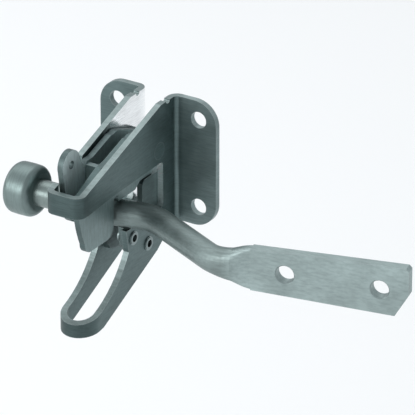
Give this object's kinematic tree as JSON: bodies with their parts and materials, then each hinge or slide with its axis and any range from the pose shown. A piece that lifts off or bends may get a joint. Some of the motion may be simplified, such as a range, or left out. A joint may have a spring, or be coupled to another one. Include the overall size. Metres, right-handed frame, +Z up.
{
  "type": "gravity gate latch",
  "caption": "Post-mounted gravity gate latch: a falling hooked dog with a side lift knob holds a cranked striker bar; a sloping guide loop leads the bar in.",
  "frame": {"origin": "centre of the square of post holes, on the back face of the bracket's flanges", "axes": "+X along the post face towards the gate, -Y out of the post, +Z up"},
  "size_m": [0.1956, 0.084, 0.095],
  "materials": {
    "bracket_zinc": "zinc-plated pressed sheet steel, satin, faint rolling streaks",
    "channel_zinc": "zinc-plated pressed sheet steel, dull, inside the latch",
    "dog_zinc": "zinc-plated pressed sheet steel, satin, rubbed edges",
    "rivet_zinc": "bright zinc-plated rivets, pin and washers",
    "knob_zinc": "zinc-plated turned steel, fine lathe rings",
    "striker_zinc": "zinc-plated forged bar, satin, slightly pitted"
  },
  "bodies": {
    "frame": {"bracket": "bracket_zinc", "stop_channel": "channel_zinc", "channel_rivets": "rivet_zinc", "pivot_pin": "rivet_zinc", "pivot_washers": "rivet_zinc"},
    "dog": {"hook_plate": "dog_zinc", "ear_plate": "dog_zinc", "dog_bridge": "dog_zinc", "pivot_bush": "rivet_zinc", "stem_washer": "rivet_zinc", "knob_stem": "knob_zinc", "knob": "knob_zinc"},
    "striker": {"striker_bar": "striker_zinc"}
  },
  "joints": [
    {"name": "dog_lift", "type": "hinge", "parent": "frame", "child": "dog", "pos_m": [0, -0.017, 0.009], "axis": [-1, 0, 0], "range_deg": [0, 45]},
    {"name": "striker_run", "type": "slide", "parent": "frame", "child": "striker", "axis": [0, 1, 0], "range_m": [0, 0.007]}
  ]
}
